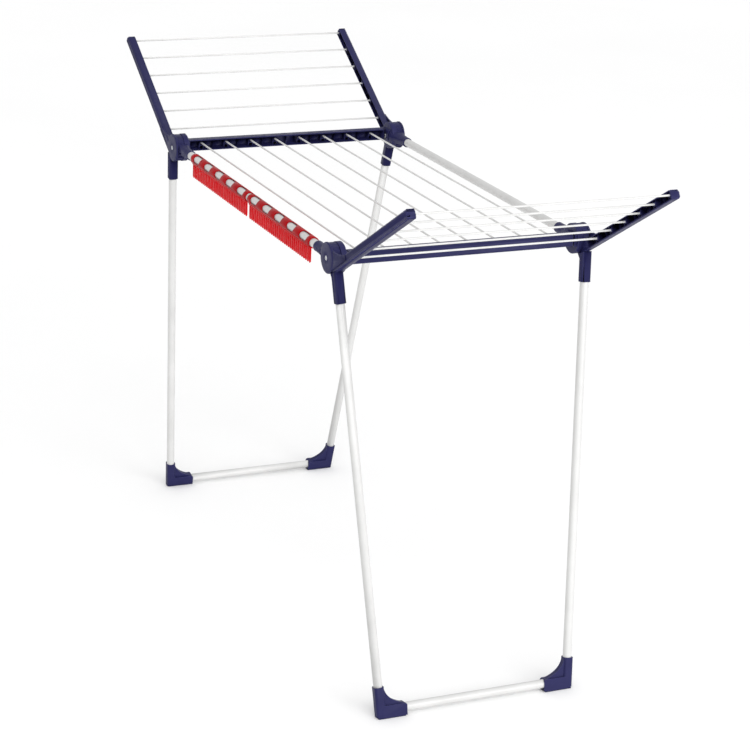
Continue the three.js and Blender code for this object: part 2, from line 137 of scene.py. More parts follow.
ARM_START, ARM_END, ARM_LOW, ARM_HIGH, ARM_Y0, ARM_Y1 = 8, 391, -34.5, -14.5, 262, 280
ARM_WALL, ARM_BACK, ARM_TIP, ARM_POCKET_START = 2.2, 3, 4, 44
ARM_CORNER, LIP_CORNER, ARM_END_CORNERS = 6, 0.8, (4, 8)
POCKET_ROOT_CORNER, POCKET_END_CORNERS = 2, (3, 5)
RIB_INSET, THIN_RIB_INSET, BOSS_INSET, RIB_SINK, WING_BORE_DEPTH = 0.6, 5, 0.2, 2, 13
ARM_ROD_V = (ARM_LOW + ARM_HIGH) / 2
GUSSET_END, GUSSET_BEND, GUSSET_TOP, GUSSET_PROUD = 88, (32, -8), (14, 27), 1.5

HOLDER_LENGTH, HOLDER_R, MOUTH_HALF = 343, 11.6, 6
WINDOWS, WINDOW_HALF, WINDOW_REACH, WINDOW_DEPTH = 5, 9.2, 20, 20
HOLDER_STARTS = {"far": -347, "near": 9}
WINDOW_TURN, MOUTH_TURN = math.radians(-48), math.radians(-50)
SKIRT_Y0, SKIRT_Y1, SKIRT_TOP, SKIRT_BOTTOM = 3.6, 6.4, -7.5, -37.5
TOOTH, TEETH, TOOTH_STEPS = 4.5, 33, 5
SKIRT_RIB_HALF, SKIRT_RIB_PROUD, SKIRT_RIB_CORNER = 1.7, 0.7, 1.4
SKIRT_RIB_ZS = (SKIRT_BOTTOM - 1, SKIRT_TOP - 6)
BEAD_R, BEAD_Y, BEAD_Z = 1.5, SKIRT_Y1 - 0.6, -HOLDER_R + 1

FRAME_ROD_YS = [(i - (FRAME_RODS - 1) / 2) * ROD_PITCH for i in range(FRAME_RODS)]
WING_ROD_US = [FIRST_WING_ROD + i * ROD_PITCH for i in range(WING_RODS)]
BAR_DOWN = (PIVOT_Z - BAR_RISE) / math.cos(SPLAY)

# The sleeve's outline in (radius, place along the rail) points, from its flared root to its lip
SLEEVE_OUTLINE = [
    (0, -SLEEVE_START),
    (SLEEVE_ROOT_R, -SLEEVE_START),
    (SLEEVE_ROOT_R - 3.2, -28),
    (13.6, -40),
    (11.8, -SLEEVE_ROOT_END),
    (11, -SLEEVE_END + 5),
    (11.3, -SLEEVE_END + 3.6),
    (11.3, -SLEEVE_END + 0.8),
    (10.9, -SLEEVE_END),
    (0, -SLEEVE_END),
]

# ---- Studio ----
WORLD_STRENGTH = 0.82
FLOOR_REACH = 40
FLOOR_GREY, FLOOR_PALE = (0.90, 0.90, 0.90, 1), (0.92, 0.92, 0.92, 1)
SUN_ENERGY, SUN_SPREAD, SUN_WAY = 1.8, math.radians(60), (-0.86, 0.12, -0.5)
SOFTBOX_ENERGY, SOFTBOX_SIZE, SOFTBOX_PLACE = 55, (2.4, 1.8), (4.4, 2.2, 1.5)
SOFTBOX_AIM = (0.3, 0, 0.7)
CAMERA_PLACE = (4.3937, -1.9578, 2.1558)
CAMERA_HEADING, CAMERA_PITCH, CAMERA_ROLL = 2.7156, 0.3339, 0.0454
CAMERA_LENS, CAMERA_SHIFT, CAMERA_REACH = 110.95, 0.0018, 200


# ---- Solid modelling ----
def object_of(bm):
    bmesh.ops.recalc_face_normals(bm, faces=bm.faces)
    mesh = bpy.data.meshes.new("solid")
    bm.to_mesh(mesh)
    bm.free()
    made = bpy.data.objects.new("solid", mesh)
    bpy.context.scene.collection.objects.link(made)
    return made


def fillet(corners, steps=6):
    """An outline from (a, b, radius) corners, each one rounded to its own radius."""
    outline = []
    for i, (a, b, radius) in enumerate(corners):
        here = Vector((a, b))
        before = (Vector(corners[i - 1][:2]) - here).normalized()
        after = (Vector(corners[(i + 1) % len(corners)][:2]) - here).normalized()
        if radius <= 0:
            outline.append(here)
            continue
        half = before.angle(after) / 2
        start = here + before * radius / math.tan(half)
        centre = here + (before + after).normalized() * radius / math.sin(half)
        spoke = start - centre
        turn = spoke.angle_signed(here + after * radius / math.tan(half) - centre)
        for k in range(steps + 1):
            angle = -turn * k / steps
            x = spoke.x * math.cos(angle) - spoke.y * math.sin(angle)
            y = spoke.x * math.sin(angle) + spoke.y * math.cos(angle)
            outline.append(centre + Vector((x, y)))
    return outline


def rectangle(a0, a1, b0, b1, radius=0.0, steps=6):
    return fillet([(a0, b0, radius), (a1, b0, radius), (a1, b1, radius), (a0, b1, radius)], steps)


def curve(start, bend, stop, steps=24):
    """Points along a quadratic curve."""
    a, b, c = Vector(start), Vector(bend), Vector(stop)
    ts = [k / steps for k in range(steps + 1)]
    return [a * (1 - t) ** 2 + b * 2 * t * (1 - t) + c * t * t for t in ts]


# Where an outline's two values and its height lie, for a shape along each axis
AXIS_FRAMES = {
    "X": lambda a, b, h: (h, a, b),
    "Y": lambda a, b, h: (a, h, b),
    "Z": lambda a, b, h: (a, b, h),
}


def prism(outline, low, high, axis="Y"):
    """A straight solid along an axis, with the outline as its section."""
    put = AXIS_FRAMES[axis]
    bm = bmesh.new()
    rings = [[bm.verts.new(put(a, b, h)) for a, b in outline] for h in (low, high)]
    bm.faces.new(rings[0])
    bm.faces.new(rings[1])
    count = len(outline)
    for i in range(count):
        j = (i + 1) % count
        bm.faces.new((rings[0][i], rings[0][j], rings[1][j], rings[1][i]))
    return object_of(bm)


def block(xs, ys, zs):
    return prism(rectangle(*xs, *zs), *ys)


def lathe(profile, axis, sides):
    """Turns (radius, height) points about an axis. Points on the axis close the solid."""
    put = AXIS_FRAMES[axis]
    bm = bmesh.new()
    rings = []
    for r, h in profile:
        if r < 1e-6:
            rings.append([bm.verts.new(put(0, 0, h))] * sides)
            continue
        turns = [2 * math.pi * k / sides for k in range(sides)]
        rings.append([bm.verts.new(put(r * math.cos(t), r * math.sin(t), h)) for t in turns])
    pairs = list(zip(rings, rings[1:]))
    if profile[0][0] > 1e-6:
        pairs.append((rings[-1], rings[0]))
    for low, high in pairs:
        for k in range(sides):
            j = (k + 1) % sides
            corners = list(dict.fromkeys((low[k], low[j], high[j], high[k])))
            if len(corners) > 2:
                bm.faces.new(corners)
    return object_of(bm)


def bar(r, low, high, axis, sides, ease=0.0):
    """A round bar along an axis, with a chamfer round each end where ease is given."""
    sides_of_bar = [(r, low), (r, high)]
    if ease:
        sides_of_bar = [(r - ease, low), (r, low + ease), (r, high - ease), (r - ease, high)]
    return lathe([(0, low), *sides_of_bar, (0, high)], axis, sides)


def moved(made, x=0.0, y=0.0, z=0.0):
    made.data.transform(Matrix.Translation((x, y, z)))
    return made


def turned(made, matrix):
    made.data.transform(matrix)
    return made


def combine(base, tools, operation):
    """Applies one boolean per tool to the base, and uses the tools up."""
    for tool in tools:
        step = base.modifiers.new("boolean", "BOOLEAN")
        step.operation = operation
        step.solver = "EXACT"
        step.object = tool
    baked(base)
    for tool in tools:
        discard(tool)
    return base


def discard(made):
    mesh = made.data
    bpy.data.objects.remove(made)
    bpy.data.meshes.remove(mesh)


def baked(made):
    """Applies an object's modifiers to its mesh."""
    bpy.context.view_layer.update()
    evaluated = made.evaluated_get(bpy.context.evaluated_depsgraph_get())
    old = made.data
    made.data = bpy.data.meshes.new_from_object(evaluated)
    made.modifiers.clear()
    bpy.data.meshes.remove(old)
    return made


def union(base, *tools):
    return combine(base, tools, "UNION")


def cut(base, *tools):
    return combine(base, tools, "DIFFERENCE")


def common(base, *tools):
    return combine(base, tools, "INTERSECT")


def softened(made, width, segments=3):
    """Rounds the sharp edges, as a moulding's are, and shades the faces smoothly."""
    bm = bmesh.new()
    bm.from_mesh(made.data)
    bmesh.ops.remove_doubles(bm, verts=bm.verts, dist=0.01)
    bmesh.ops.dissolve_degenerate(bm, edges=bm.edges, dist=0.02)
    bm.to_mesh(made.data)
    bm.free()
    if width:
        edges = made.modifiers.new("soft_edges", "BEVEL")
        edges.width = width
        edges.segments = segments
        edges.limit_method = "ANGLE"
        edges.angle_limit = SHARP_ANGLE
        edges.use_clamp_overlap = True
        edges.miter_outer = "MITER_ARC"
    for face in made.data.polygons:
        face.use_smooth = True
    normals = made.modifiers.new("face_normals", "WEIGHTED_NORMAL")
    normals.weight = 80
    return baked(made)


# ---- Placing ----
def corner_matrix(end, side=1, lean=0.0):
    """From a corner's own system to the rack's, leaning up or down about the hinge axis."""
    mirror = Matrix.Diagonal((end, side, 1, 1))
    place = Matrix.Translation((end * PIVOT_X, 0, PIVOT_Z))
    return place @ mirror @ Matrix.Rotation(-lean, 4, "Y")


def place(shape, node, body, slot, material, matrix=Matrix.Identity(4)):
    """A finished copy of a shape, in metres, standing for one CAD node."""
    mesh = shape.data.copy()
    mesh.name = node + "_look"
    scaled = Matrix.Diagonal((MM, MM, MM, 1)) @ matrix
    mesh.transform(scaled)
    if scaled.to_3x3().determinant() < 0:
        mesh.flip_normals()
    piece = bpy.data.objects.new(node + "_look", mesh)
    bpy.context.scene.collection.objects.link(piece)
    mesh.materials.clear()
    mesh.materials.append(material)
    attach(piece, body)
    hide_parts(node)
    return piece


# ---- Materials ----
class Look:
    """A procedural material on a Principled shader, with helpers for its nodes."""

    def __init__(self, name, roughness, metallic=0.0):
        self.material = bpy.data.materials.new(name)
        self.material.use_nodes = True
        self.nodes = self.material.node_tree.nodes
        self.links = self.material.node_tree.links
        self.shader = self.nodes["Principled BSDF"]
        self.shader.inputs["Metallic"].default_value = metallic
        self.shader.inputs["Roughness"].default_value = roughness
        self.place = self.add("ShaderNodeTexCoord").outputs["Object"]

    def add(self, kind, **values):
        node = self.nodes.new(kind)
        for key, value in values.items():
            setattr(node, key, value)
        return node

    def join(self, source, node, socket):
        self.links.new(source, node.inputs[socket])

    def noise(self, scale, detail=3.0, rough=0.5, stretch=(1, 1, 1)):
        mapping = self.add("ShaderNodeMapping")
        mapping.inputs["Scale"].default_value = stretch
        self.join(self.place, mapping, "Vector")
        texture = self.add("ShaderNodeTexNoise")
        texture.inputs["Scale"].default_value = scale
        texture.inputs["Detail"].default_value = detail
        texture.inputs["Roughness"].default_value = rough
        self.join(mapping.outputs["Vector"], texture, "Vector")
        return texture.outputs["Fac"]

    def mapped(self, source, low, high, from_low=0.3, from_high=0.7):
        node = self.add("ShaderNodeMapRange")
        for socket, value in zip(
            ("From Min", "From Max", "To Min", "To Max"), (from_low, from_high, low, high)
        ):
            node.inputs[socket].default_value = value
        self.join(source, node, "Value")
        return node.outputs["Result"]

    def mix(self, factor, a, b):
        node = self.add("ShaderNodeMix", data_type="RGBA")
        for value, index in ((factor, 0), (a, 6), (b, 7)):
            if isinstance(value, bpy.types.NodeSocket):
                self.links.new(value, node.inputs[index])
            else:
                node.inputs[index].default_value = value
        return node.outputs[2]

    def colour(self, source):
        self.join(source, self.shader, "Base Color")

    def rough(self, source):
        self.join(source, self.shader, "Roughness")

    def bump(self, source, strength, depth_mm, below=None):
        node = self.add("ShaderNodeBump")
        node.inputs["Strength"].default_value = strength
        node.inputs["Distance"].default_value = depth_mm * MM
        self.join(source, node, "Height")
        if below is not None:
            self.join(below, node, "Normal")
        self.join(node.outputs["Normal"], self.shader, "Normal")
        return node.outputs["Normal"]

    def edges(self, radius_mm):
        """1 on rounded edges and 0 on flats, from how far a bevelled normal leans; a mask for
        painting highlights on edges.
        """
        rounded = self.add("ShaderNodeBevel", samples=4)
        rounded.inputs["Radius"].default_value = radius_mm * MM
        plain = self.add("ShaderNodeNewGeometry")
        dot = self.add("ShaderNodeVectorMath", operation="DOT_PRODUCT")
        self.links.new(rounded.outputs["Normal"], dot.inputs[0])
        self.links.new(plain.outputs["Normal"], dot.inputs[1])
        return self.mapped(dot.outputs["Value"], 1.0, 0.0, 0.75, 0.99)

    def hollows(self, distance_mm):
        """0 deep inside hollows and 1 in the open; a mask for painting shade into hollows."""
        shade = self.add("ShaderNodeAmbientOcclusion", samples=6)
        shade.inputs["Distance"].default_value = distance_mm * MM
        return shade.outputs["AO"]


def rgb(r, g, b):
    """A linear colour from an sRGB one given as 0 to 255."""
    channels = [((v / 255 + 0.055) / 1.055) ** 2.4 if v > 10 else v / 3294.6 for v in (r, g, b)]
    return (*channels, 1)


def navy_plastic():
    """Satin polypropylene: moulding flow and a fine spark-eroded grain, with a painted highlight on
    the rounded edges and painted shade in the hollows.
    """
    look = Look("navy_moulded_plastic", 0.4)
    flow = look.mapped(look.noise(9, 4, 0.6, (1, 1, 2.2)), 0, 1)
    body = look.mix(flow, rgb(28, 28, 68), rgb(35, 35, 77))
    # painted highlight: rounded edges are painted a lighter navy
    edge_highlighted = look.mix(look.edges(1.2), body, rgb(66, 66, 116))
    # painted shade: hollows, channels and creases are painted near-black navy
    unshaded = look.mapped(look.hollows(16), 0.0, 1.0, 0.08, 0.6)
    look.colour(look.mix(unshaded, rgb(9, 9, 22), edge_highlighted))
    look.rough(look.mapped(look.noise(60, 5, 0.65), 0.34, 0.52))
    grain = look.bump(look.noise(2600, 2, 0.6), 0.32, 0.05)
    look.bump(look.noise(34, 2, 0.5), 0.12, 0.5, grain)
    look.shader.inputs["Specular IOR Level"].default_value = 0.17
    return look.material


def powder_coat():
    """Light grey-white powder coat on steel tube: orange peel, faint clouding and handling marks."""
    look = Look("white_powder_coat", 0.36)
    cloud = look.mapped(look.noise(14, 4, 0.55), 0, 1)
    base = look.mix(cloud, rgb(190, 190, 189), rgb(200, 200, 199))
    marks = look.mapped(look.noise(120, 6, 0.7, (0.25, 1, 1)), 0, 0.16, 0.62, 0.8)
    look.colour(look.mix(marks, base, rgb(170, 170, 170)))
    look.rough(look.mapped(look.noise(80, 4, 0.6), 0.28, 0.44))
    peel = look.bump(look.noise(700, 2, 0.45), 0.25, 0.08)
    look.bump(look.noise(60, 2, 0.4), 0.08, 0.3, peel)
    look.shader.inputs["Coat Weight"].default_value = 0.25
    look.shader.inputs["Coat Roughness"].default_value = 0.12
    return look.material


def rod_coat():
    """Soft white plastic coat on steel wire, a little wavy along its length."""
    look = Look("white_rod_coat", 0.42)
    tone = look.mapped(look.noise(26, 4, 0.6), 0, 1)
    look.colour(look.mix(tone, rgb(196, 196, 195), rgb(208, 208, 207)))
    look.rough(look.mapped(look.noise(140, 4, 0.6), 0.34, 0.5))
    fine = look.bump(look.noise(1500, 2, 0.5), 0.2, 0.04)
    look.bump(look.noise(110, 2, 0.4), 0.12, 0.2, fine)
    look.shader.inputs["Subsurface Weight"].default_value = 0.05
    look.shader.inputs["Subsurface Radius"].default_value = (0.001, 0.001, 0.001)
    return look.material


def red_plastic():
    """Glossy red moulding: the clip is painted a deeper red than the skirt, for its thicker moulding
    and as painted shade, with a painted highlight on rounded edges and painted shade in hollows.
    """
    look = Look("red_glossy_plastic", 0.3)
    flow = look.mapped(look.noise(16, 3, 0.55, (0.4, 1, 2)), 0, 1)
    skirt = look.mix(flow, rgb(196, 4, 14), rgb(208, 8, 20))
    # the clip's deeper red is partly its thicker moulding and partly painted shade on the bands
    # between the windows
    clip = look.mix(flow, rgb(148, 4, 12), rgb(162, 8, 18))
    height = look.add("ShaderNodeSeparateXYZ")
    look.join(look.place, height, "Vector")
    clip_low = (PIVOT_Z + SKIRT_TOP - 2) * MM
    on_clip = look.mapped(height.outputs["Z"], 0, 1, clip_low, clip_low + 1.5 * MM)
    body = look.mix(on_clip, skirt, clip)
    # painted highlight: rounded edges are painted a lighter red
    lit = look.mix(look.edges(0.5), body, rgb(214, 20, 28))
    # painted shade: hollows and the gaps between ribs are painted dark red
    unshaded = look.mapped(look.hollows(9), 0.0, 1.0, 0.1, 0.7)
    look.colour(look.mix(unshaded, rgb(120, 8, 16), lit))
    look.rough(look.mapped(look.noise(90, 4, 0.6), 0.22, 0.4))
    fine = look.bump(look.noise(2200, 2, 0.5), 0.15, 0.03)
    look.bump(look.noise(45, 2, 0.5), 0.1, 0.4, fine)
    look.shader.inputs["Subsurface Weight"].default_value = 0.03
    look.shader.inputs["Subsurface Radius"].default_value = (0.003, 0.0006, 0.0004)
    look.shader.inputs["Specular IOR Level"].default_value = 0.06
    return look.material


def zinc():
    """Zinc-plated rivet steel: turning marks, mottle and dulled edges."""
    look = Look("zinc_plated_steel", 0.3, 1.0)
    mottle = look.mapped(look.noise(420, 4, 0.6), 0, 1)
    look.colour(look.mix(mottle, rgb(176, 179, 184), rgb(214, 216, 218)))
    look.rough(look.mapped(look.noise(900, 5, 0.65), 0.22, 0.46))
    look.bump(look.noise(1800, 3, 0.5, (1, 0.1, 1)), 0.25, 0.04)
    return look.material


NAVY, TUBE, ROD, RED, ZINC = navy_plastic(), powder_coat(), rod_coat(), red_plastic(), zinc()


# ---- Hanging frame ----
def tube_shape(r, length):
    """An open tube along Z from 0 down to -length, with eased ends."""
    inner, ease = r - TUBE_WALL, 0.35
    ring = [
        (inner, -ease),
        (inner, -length + ease),
        (inner + ease, -length),
        (r - ease, -length),
        (r, -length + ease),
        (r, -ease),
        (r - ease, 0),
        (inner + ease, 0),
    ]
    return softened(lathe(ring, "Z", TUBE_SIDES), width=0)


def rod_shape(half, axis):
    return softened(bar(ROD_R, -half, half, axis, ROD_SIDES, ease=0.5), width=0)


def hub_shape():
    """The frame's corner hub: a drum, the block behind it and a slightly flared rail sleeve."""
    ease = 1.2
    drum = lathe(
        [
            (0, HUB_Y0),
            (HUB_R - ease, HUB_Y0),
            (HUB_R, HUB_Y0 + ease),
            (HUB_R, HUB_Y1 - ease / 2),
            (HUB_R - ease / 2, HUB_Y1),
            (0, HUB_Y1),
        ],
        "Y",
        DISC_SIDES,
    )
    behind = block((BLOCK_X0, CHANNEL_DEPTH), (BLOCK_Y0, HUB_Y0 + 1), (CHANNEL_LOW, CHANNEL_HIGH))
    sleeve = moved(lathe(SLEEVE_OUTLINE, "X", SLEEVE_SIDES), y=RAIL_Y)
    inner, outer = HUB_Y1 + GAP, RAIL_Y + SLEEVE_ROOT_R
    disc_room = bar(LEG_HUB_R + SWING_GAP, inner, outer, "Y", DISC_SIDES)
    neck_room = block((-NECK_REACH - CUT_PAST, 0), (inner, outer), NECK_ROOM_ZS)
    leg_room = block(FLARE_XS, (FLARE_LOW_Y, OUTSIDE), (-FLARE_REACH, FLARE_LOW))
    arm_room = block(FLARE_XS, (FLARE_HIGH_Y, OUTSIDE), (FLARE_HIGH, FLARE_REACH))
    gusset_room = block(FLARE_XS, (FLARE_OUTER_Y, OUTSIDE), (-FLARE_REACH, FLARE_REACH))
    cut(sleeve, disc_room, neck_room, leg_room, arm_room, gusset_room)
    body = union(drum, behind, sleeve)
    mouth = moved(bar(RAIL_R + GAP, -SLEEVE_END - 1, GAP - RAIL_SOCKET, "X", TUBE_SIDES), y=RAIL_Y)
    rivet_hole = bar(RIVET_R + GAP, BLOCK_Y0 - CUT_PAST, HUB_Y1 + CUT_PAST, "Y", BORE_SIDES)
    cut(body, mouth, rivet_hole)
    return softened(body, width=0.6, segments=2)


def channel_shape():
    """A cross channel, open towards the middle, with thin ribs and a boss for each rod."""
    depth, low, high = CHANNEL_DEPTH, CHANNEL_LOW, CHANNEL_HIGH
    wall, half = CHANNEL_WALL, CHANNEL_HALF
    outline = [
        (0, low, LIP_CORNER),
        (depth, low, CHANNEL_CORNER),
        (depth, high, CHANNEL_CORNER),
        (0, high, LIP_CORNER),
    ]
    body = prism(fillet(outline), -half, half)
    back, bottom, top = depth - wall, low + wall, high - wall
    pocket = [
        (-CUT_PAST, bottom, 0),
        (back, bottom, CHANNEL_INNER_CORNER),
        (back, top, CHANNEL_INNER_CORNER),
        (-CUT_PAST, top, 0),
    ]
    cut(body, prism(fillet(pocket), -half + wall, half - wall))

    def rib(front, y, half_thick, zs=(low + 1, high - 1)):
        return block((front, back + 0.5), (y - half_thick, y + half_thick), zs)

    ribs, bores = [], []
    shelf = (FRAME_ROD_Z + SHELF_LOW, FRAME_ROD_Z + SHELF_HIGH)
    for y in FRAME_ROD_YS:
        ribs += [rib(RIB_START, y + side * BOSS_HALF, RIB_HALF) for side in (-1, 1)]
        ribs.append(rib(RIB_START, y, BOSS_HALF, shelf))
        boss = bar(BOSS_R, RIB_START - 0.6, depth - 1, "X", BORE_SIDES, ease=0.6)
        ribs.append(moved(boss, y=y, z=FRAME_ROD_Z))
        bore = bar(BOSS_BORE_R, BOSS_BORE_START, BOSS_BORE_STOP, "X", ROD_SIDES)
        bores.append(moved(bore, y=y, z=FRAME_ROD_Z))
    between = [y + ROD_PITCH / 2 for y in FRAME_ROD_YS[:-1]]
    union(body, *ribs, *[rib(THIN_RIB_START, y, THIN_RIB_HALF) for y in between])
    for side in (-1, 1):
        ends = sorted((side * (half - 2), side * (half + TENON_LENGTH)))
        union(body, block(TENON_XS, ends, TENON_ZS))
    cut(body, *bores)
    return softened(body, width=0.45, segments=2)


def rivet_shape():
    """The hinge rivet: a domed, slotted outer head, a shaft and a flat inner head."""
    face = WING_HUB_Y1 - RIVET_SEAT
    inner_face = BLOCK_Y0 - GAP
    body = lathe(
        [
            (0, RIVET_TAIL),
            (RIVET_HEAD - 0.6, RIVET_TAIL),
            (RIVET_HEAD, RIVET_TAIL + 0.5),
            (RIVET_HEAD, inner_face),
            (RIVET_R, inner_face),
            (RIVET_R, face),
            (RIVET_HEAD, face),
            (RIVET_HEAD, face + 0.9),
            (RIVET_HEAD - 0.6, face + 1.6),
            (RIVET_HEAD - 1.8, face + 2.05),
            (1.8, face + 2.2),
            (0, face + 2.2),
        ],
        "Y",
        SLEEVE_SIDES,
    )
    across = (-RIVET_SLOT_REACH, RIVET_SLOT_REACH)
    slot = block(across, (face + 1.0, face + 4), (-RIVET_SLOT_HALF, RIVET_SLOT_HALF))
    turned(slot, Matrix.Rotation(RIVET_SLOT_TURN, 4, "Y"))
    return softened(cut(body, slot), width=0.18, segments=2)


def make_frame():
    hub, channel, rivet = hub_shape(), channel_shape(), rivet_shape()
    for end_name, end in ENDS.items():
        matrix = corner_matrix(end)
        place(channel, f"cross_channel_{end_name}", "hanging_frame", "navy_plastic", NAVY, matrix)
        for side_name, side in SIDES.items():
            matrix = corner_matrix(end, side)
            corner = f"{end_name}_{side_name}"
            place(hub, f"corner_hub_{corner}", "hanging_frame", "navy_plastic", NAVY, matrix)
            place(rivet, f"pivot_rivet_{corner}", "hanging_frame", "zinc_steel", ZINC, matrix)
    rail = tube_shape(RAIL_R, 2 * RAIL_HALF)
    for side_name, side in SIDES.items():
        along = Matrix.Rotation(math.pi / 2, 4, "Y")
        matrix = Matrix.Translation((RAIL_HALF, side * RAIL_Y, PIVOT_Z)) @ along
        place(rail, f"side_rail_{side_name}", "hanging_frame", "white_tube", TUBE, matrix)
    rod = rod_shape(FRAME_ROD_HALF, "X")
    for i, y in enumerate(FRAME_ROD_YS):
        matrix = Matrix.Translation((0, y, PIVOT_Z + FRAME_ROD_Z))
        place(rod, f"frame_rod_{i + 1}", "hanging_frame", "white_wire", ROD, matrix)
    for shape in (hub, channel, rivet, rail, rod):
        discard(shape)


# ---- Leg frames ----
def onto_leg(made):
    """Moves a shape drawn round the Z axis onto a leg's slanting centre line."""
    lean = Matrix.Rotation(-math.atan(LEG_TAPER), 4, "X")
    return turned(made, Matrix.Translation((LEG_OFFSET, LEG_TOP_Y, 0)) @ lean)


def square_sleeve(half, radius, start, stop):
    return onto_leg(prism(rectangle(-half, half, -half, half, radius, 8), -stop, -start, "Z"))


def leg_hole(start, stop):
    return onto_leg(bar(LEG_R + GAP, -stop, -start, "Z", TUBE_SIDES))


def bracket_shape():
    """The leg's top bracket: hinge disc, neck and square socket under the wing's stop."""
    disc = lathe(
        [
            (0, LEG_HUB_Y0),
            (LEG_HUB_R - BRACKET_EASE, LEG_HUB_Y0),
            (LEG_HUB_R, LEG_HUB_Y0 + BRACKET_EASE),
            (LEG_HUB_R, LEG_HUB_Y1 - BRACKET_EASE),
            (LEG_HUB_R - BRACKET_EASE, LEG_HUB_Y1),
            (0, LEG_HUB_Y1),
        ],
        "Y",
        DISC_SIDES,
    )
    swing = Matrix.Rotation(-(WING_ANGLE - SPLAY), 4, "Y")

    def wing_space():
        along = (ARM_START - DISC_GAP, WING_ROOM_END)
        across = (LEG_TOP_Y - WING_ROOM_HALF, LEG_TOP_Y + WING_ROOM_HALF)
        room = block(along, across, (ARM_LOW - WING_STOP_GAP, WING_ROOM_TOP))
        return turned(room, swing)

    sleeve = square_sleeve(SOCKET_HALF, SOCKET_CORNER, SOCKET_TOP, SOCKET_BOTTOM)
    cut(
        sleeve,
        wing_space(),
        bar(WING_HUB_R + DISC_GAP, LEG_HUB_Y1 + GAP, BEYOND_HINGES, "Y", DISC_SIDES),
        bar(HUB_R + DISC_GAP, BEFORE_HINGES, LEG_HUB_Y0 - GAP, "Y", DISC_SIDES),
    )
    inside = LEG_OFFSET - SOCKET_HALF
    neck_low = 2 - NECK_REACH
    outline = [
        (inside - 9.5, -24),
        (inside - 9.5, -30),
        (inside - 1, neck_low),
        (LEG_OFFSET, neck_low),
        (LEG_OFFSET - 6, -20),
    ]
    neck = prism(outline, LEG_HUB_Y0, LEG_HUB_Y1)
    cut(neck, wing_space())
    body = union(disc, neck, sleeve)
    rivet_hole = bar(RIVET_R + GAP, 260, 290, "Y", BORE_SIDES)
    cut(body, rivet_hole, leg_hole(LEG_TUBE_START - GAP, SOCKET_BOTTOM + CUT_PAST))
    return softened(body, width=0.9)


def foot_shape():
    """A corner foot: two sockets with a hollow-edged web between them, and a flat sole."""
    outer = LEG_TOP_Y - LEG_TAPER * LEG_LENGTH + FOOT_HALF
    inner = outer - FOOT_REACH
    arm_inner = LEG_TOP_Y - LEG_TAPER * (LEG_LENGTH - FOOT_HEIGHT) - FOOT_HALF
    middle = outer - FOOT_HALF
    low, high = -BAR_DOWN - FOOT_HALF - FOOT_TRIM, -BAR_DOWN + FOOT_HALF
    sleeve_top, sleeve_end = LEG_LENGTH - FOOT_HEIGHT, LEG_LENGTH + FOOT_TRIM
    upright = square_sleeve(FOOT_HALF, FOOT_CORNER, sleeve_top, sleeve_end)
    mouth = (inner, high, BAR_SOCKET_CORNER)
    ends = fillet([(middle, low, 0), (inner, low, 0), mouth, (middle, high, 0)], 8)
    along = prism(ends, LEG_OFFSET - FOOT_HALF, LEG_OFFSET + FOOT_HALF, "X")
    top = -LEG_LENGTH + FOOT_HEIGHT + WEB_TOP
    bend = (arm_inner - WEB_BEND_Y, high + WEB_BEND_Z)
    edge = curve((inner + WEB_END, high), bend, (arm_inner, top))
    corner = [(middle, top), (middle, -BAR_DOWN), (inner + WEB_END, -BAR_DOWN)]
    half_web = FOOT_HALF - WEB_INSET
    web = prism(edge + corner, LEG_OFFSET - half_web, LEG_OFFSET + half_web, "X")
    body = union(upright, along, web)

    upright_again = Matrix.Rotation(SPLAY, 4, "Y")
    below_zs = (-PIVOT_Z - BELOW_FOOT_DEPTH, SOLE_PROUD - PIVOT_Z)
    cut(body, turned(block(BELOW_FOOT_XS, BELOW_FOOT_YS, below_zs), upright_again))
    sole_x = (LEG_OFFSET + math.sin(SPLAY) * PIVOT_Z) / math.cos(SPLAY)
    sole = block(
        (sole_x - SOLE_HALF, sole_x + SOLE_HALF),
        (inner + SOLE_INSET, outer - SOLE_INSET),
        (-PIVOT_Z, SOLE_DEPTH - PIVOT_Z),
    )
    union(body, turned(sole, upright_again))
    bar_hole = bar(LEG_R + GAP, inner - 1, FLOOR_BAR_HALF + GAP, "Y", TUBE_SIDES)
    moved(bar_hole, x=LEG_OFFSET, z=-BAR_DOWN)
    cut(body, leg_hole(sleeve_top - CUT_PAST, LEG_TUBE_END + GAP), bar_hole)
    return softened(body, width=0.8)


def make_legs():
    bracket, foot = bracket_shape(), foot_shape()
    leg = onto_leg(moved(tube_shape(LEG_R, LEG_TUBE_END - LEG_TUBE_START), z=-LEG_TUBE_START))
    floor_bar = tube_shape(LEG_R, 2 * FLOOR_BAR_HALF)
    across = Matrix.Translation((LEG_OFFSET, FLOOR_BAR_HALF, -BAR_DOWN))
    across = across @ Matrix.Rotation(-math.pi / 2, 4, "X")
    for end_name, end in ENDS.items():
        body = f"legs_{end_name}"
        for side_name, side in SIDES.items():
            matrix = corner_matrix(end, side, SPLAY)
            corner = f"{end_name}_{side_name}"
            place(bracket, f"leg_bracket_{corner}", body, "navy_plastic", NAVY, matrix)
            place(leg, f"leg_tube_{corner}", body, "white_tube", TUBE, matrix)
            place(foot, f"foot_{corner}", body, "navy_plastic", NAVY, matrix)
        matrix = corner_matrix(end, 1, SPLAY) @ across
        place(floor_bar, f"floor_bar_{end_name}", body, "white_tube", TUBE, matrix)
    for shape in (bracket, foot, leg, floor_bar):
        discard(shape)


